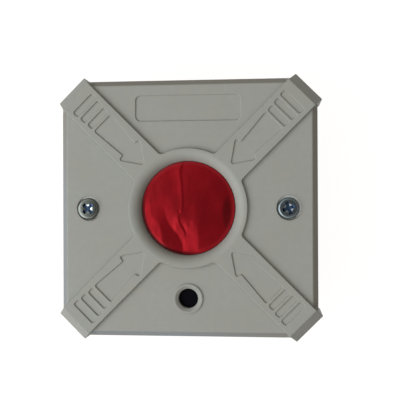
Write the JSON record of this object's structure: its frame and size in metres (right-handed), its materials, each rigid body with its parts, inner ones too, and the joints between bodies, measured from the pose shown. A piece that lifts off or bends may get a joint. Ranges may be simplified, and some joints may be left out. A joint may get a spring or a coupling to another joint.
{
  "type": "panic button",
  "caption": "Square grey wall panic button with a red push button in a round hub, raised diagonal bars with engraved arrows, a recessed reset plunger and a shallow back box.",
  "frame": {"origin": "centre of the flat back face, on the wall plane", "axes": "+Z out of the wall through the button, +Y up on the wall towards the label recess, +X right"},
  "size_m": [0.0876, 0.0876, 0.0332],
  "materials": {
    "case_grey": "moulded, fine satin",
    "zinc_screw": "bright zinc plate",
    "grommet_rubber": "matt",
    "button_red": "moulded gloss",
    "film_red": "glossy crinkled film",
    "acetal_white": "natural acetal",
    "spring_steel": "drawn wire",
    "plate_grey": "moulded",
    "board_green": "solder mask",
    "switch_black": "moulded",
    "lever_steel": "rolled strip",
    "plunger_red": "moulded",
    "tinned_pin": "tinned",
    "reset_black": "moulded",
    "terminal_green": "moulded",
    "clamp_brass": "nickel-free brass",
    "relay_blue": "moulded",
    "can_sleeve": "shrink sleeve",
    "resistor_tan": "lacquered"
  },
  "bodies": {
    "case": {"front_cover": "case_grey", "back_box": "case_grey", "cover_screws": "zinc_screw", "cable_grommet": "grommet_rubber", "return_spring": "spring_steel", "spring_plate": "plate_grey", "plate_screws": "zinc_screw", "circuit_board": "board_green", "board_screws": "zinc_screw", "microswitch_body": "switch_black", "microswitch_pins": "tinned_pin", "reset_spring": "spring_steel", "reset_switch_body": "switch_black", "reset_switch_pins": "tinned_pin", "terminal_block": "terminal_green", "terminal_clamps": "clamp_brass", "terminal_screws": "zinc_screw", "relay_body": "relay_blue", "relay_pins": "tinned_pin", "capacitor": "can_sleeve", "resistors": "resistor_tan"},
    "button": {"button_cap": "button_red", "button_film": "film_red", "button_stem": "acetal_white"},
    "switch_lever": {"microswitch_lever": "lever_steel"},
    "switch_plunger": {"microswitch_plunger": "plunger_red"},
    "reset": {"reset_plunger": "reset_black", "reset_switch_stem": "acetal_white"}
  },
  "joints": [
    {"name": "button_press", "type": "slide", "parent": "case", "child": "button", "axis": [0, 0, -1], "range_m": [0, 0.003], "stiffness_N_per_m": 1200, "springref_m": -0.003, "deforming": ["return_spring"]},
    {"name": "switch_lever_turn", "type": "hinge", "parent": "case", "child": "switch_lever", "pos_m": [-0.012, 0, 0.0136], "axis": [0, 1, 0], "range_deg": [0, 13.6]},
    {"name": "switch_plunger_press", "type": "slide", "parent": "case", "child": "switch_plunger", "axis": [0, 0, -1], "range_m": [0, 0.0005]},
    {"name": "reset_press", "type": "slide", "parent": "case", "child": "reset", "axis": [0, 0, -1], "range_m": [0, 0.0015], "stiffness_N_per_m": 500, "springref_m": -0.002, "deforming": ["reset_spring"]}
  ],
  "couplings": [
    {"joint": "switch_lever_turn", "follows": "button_press", "rad_per_m": 79.05},
    {"joint": "switch_plunger_press", "follows": "button_press", "ratio": 0.1666}
  ]
}
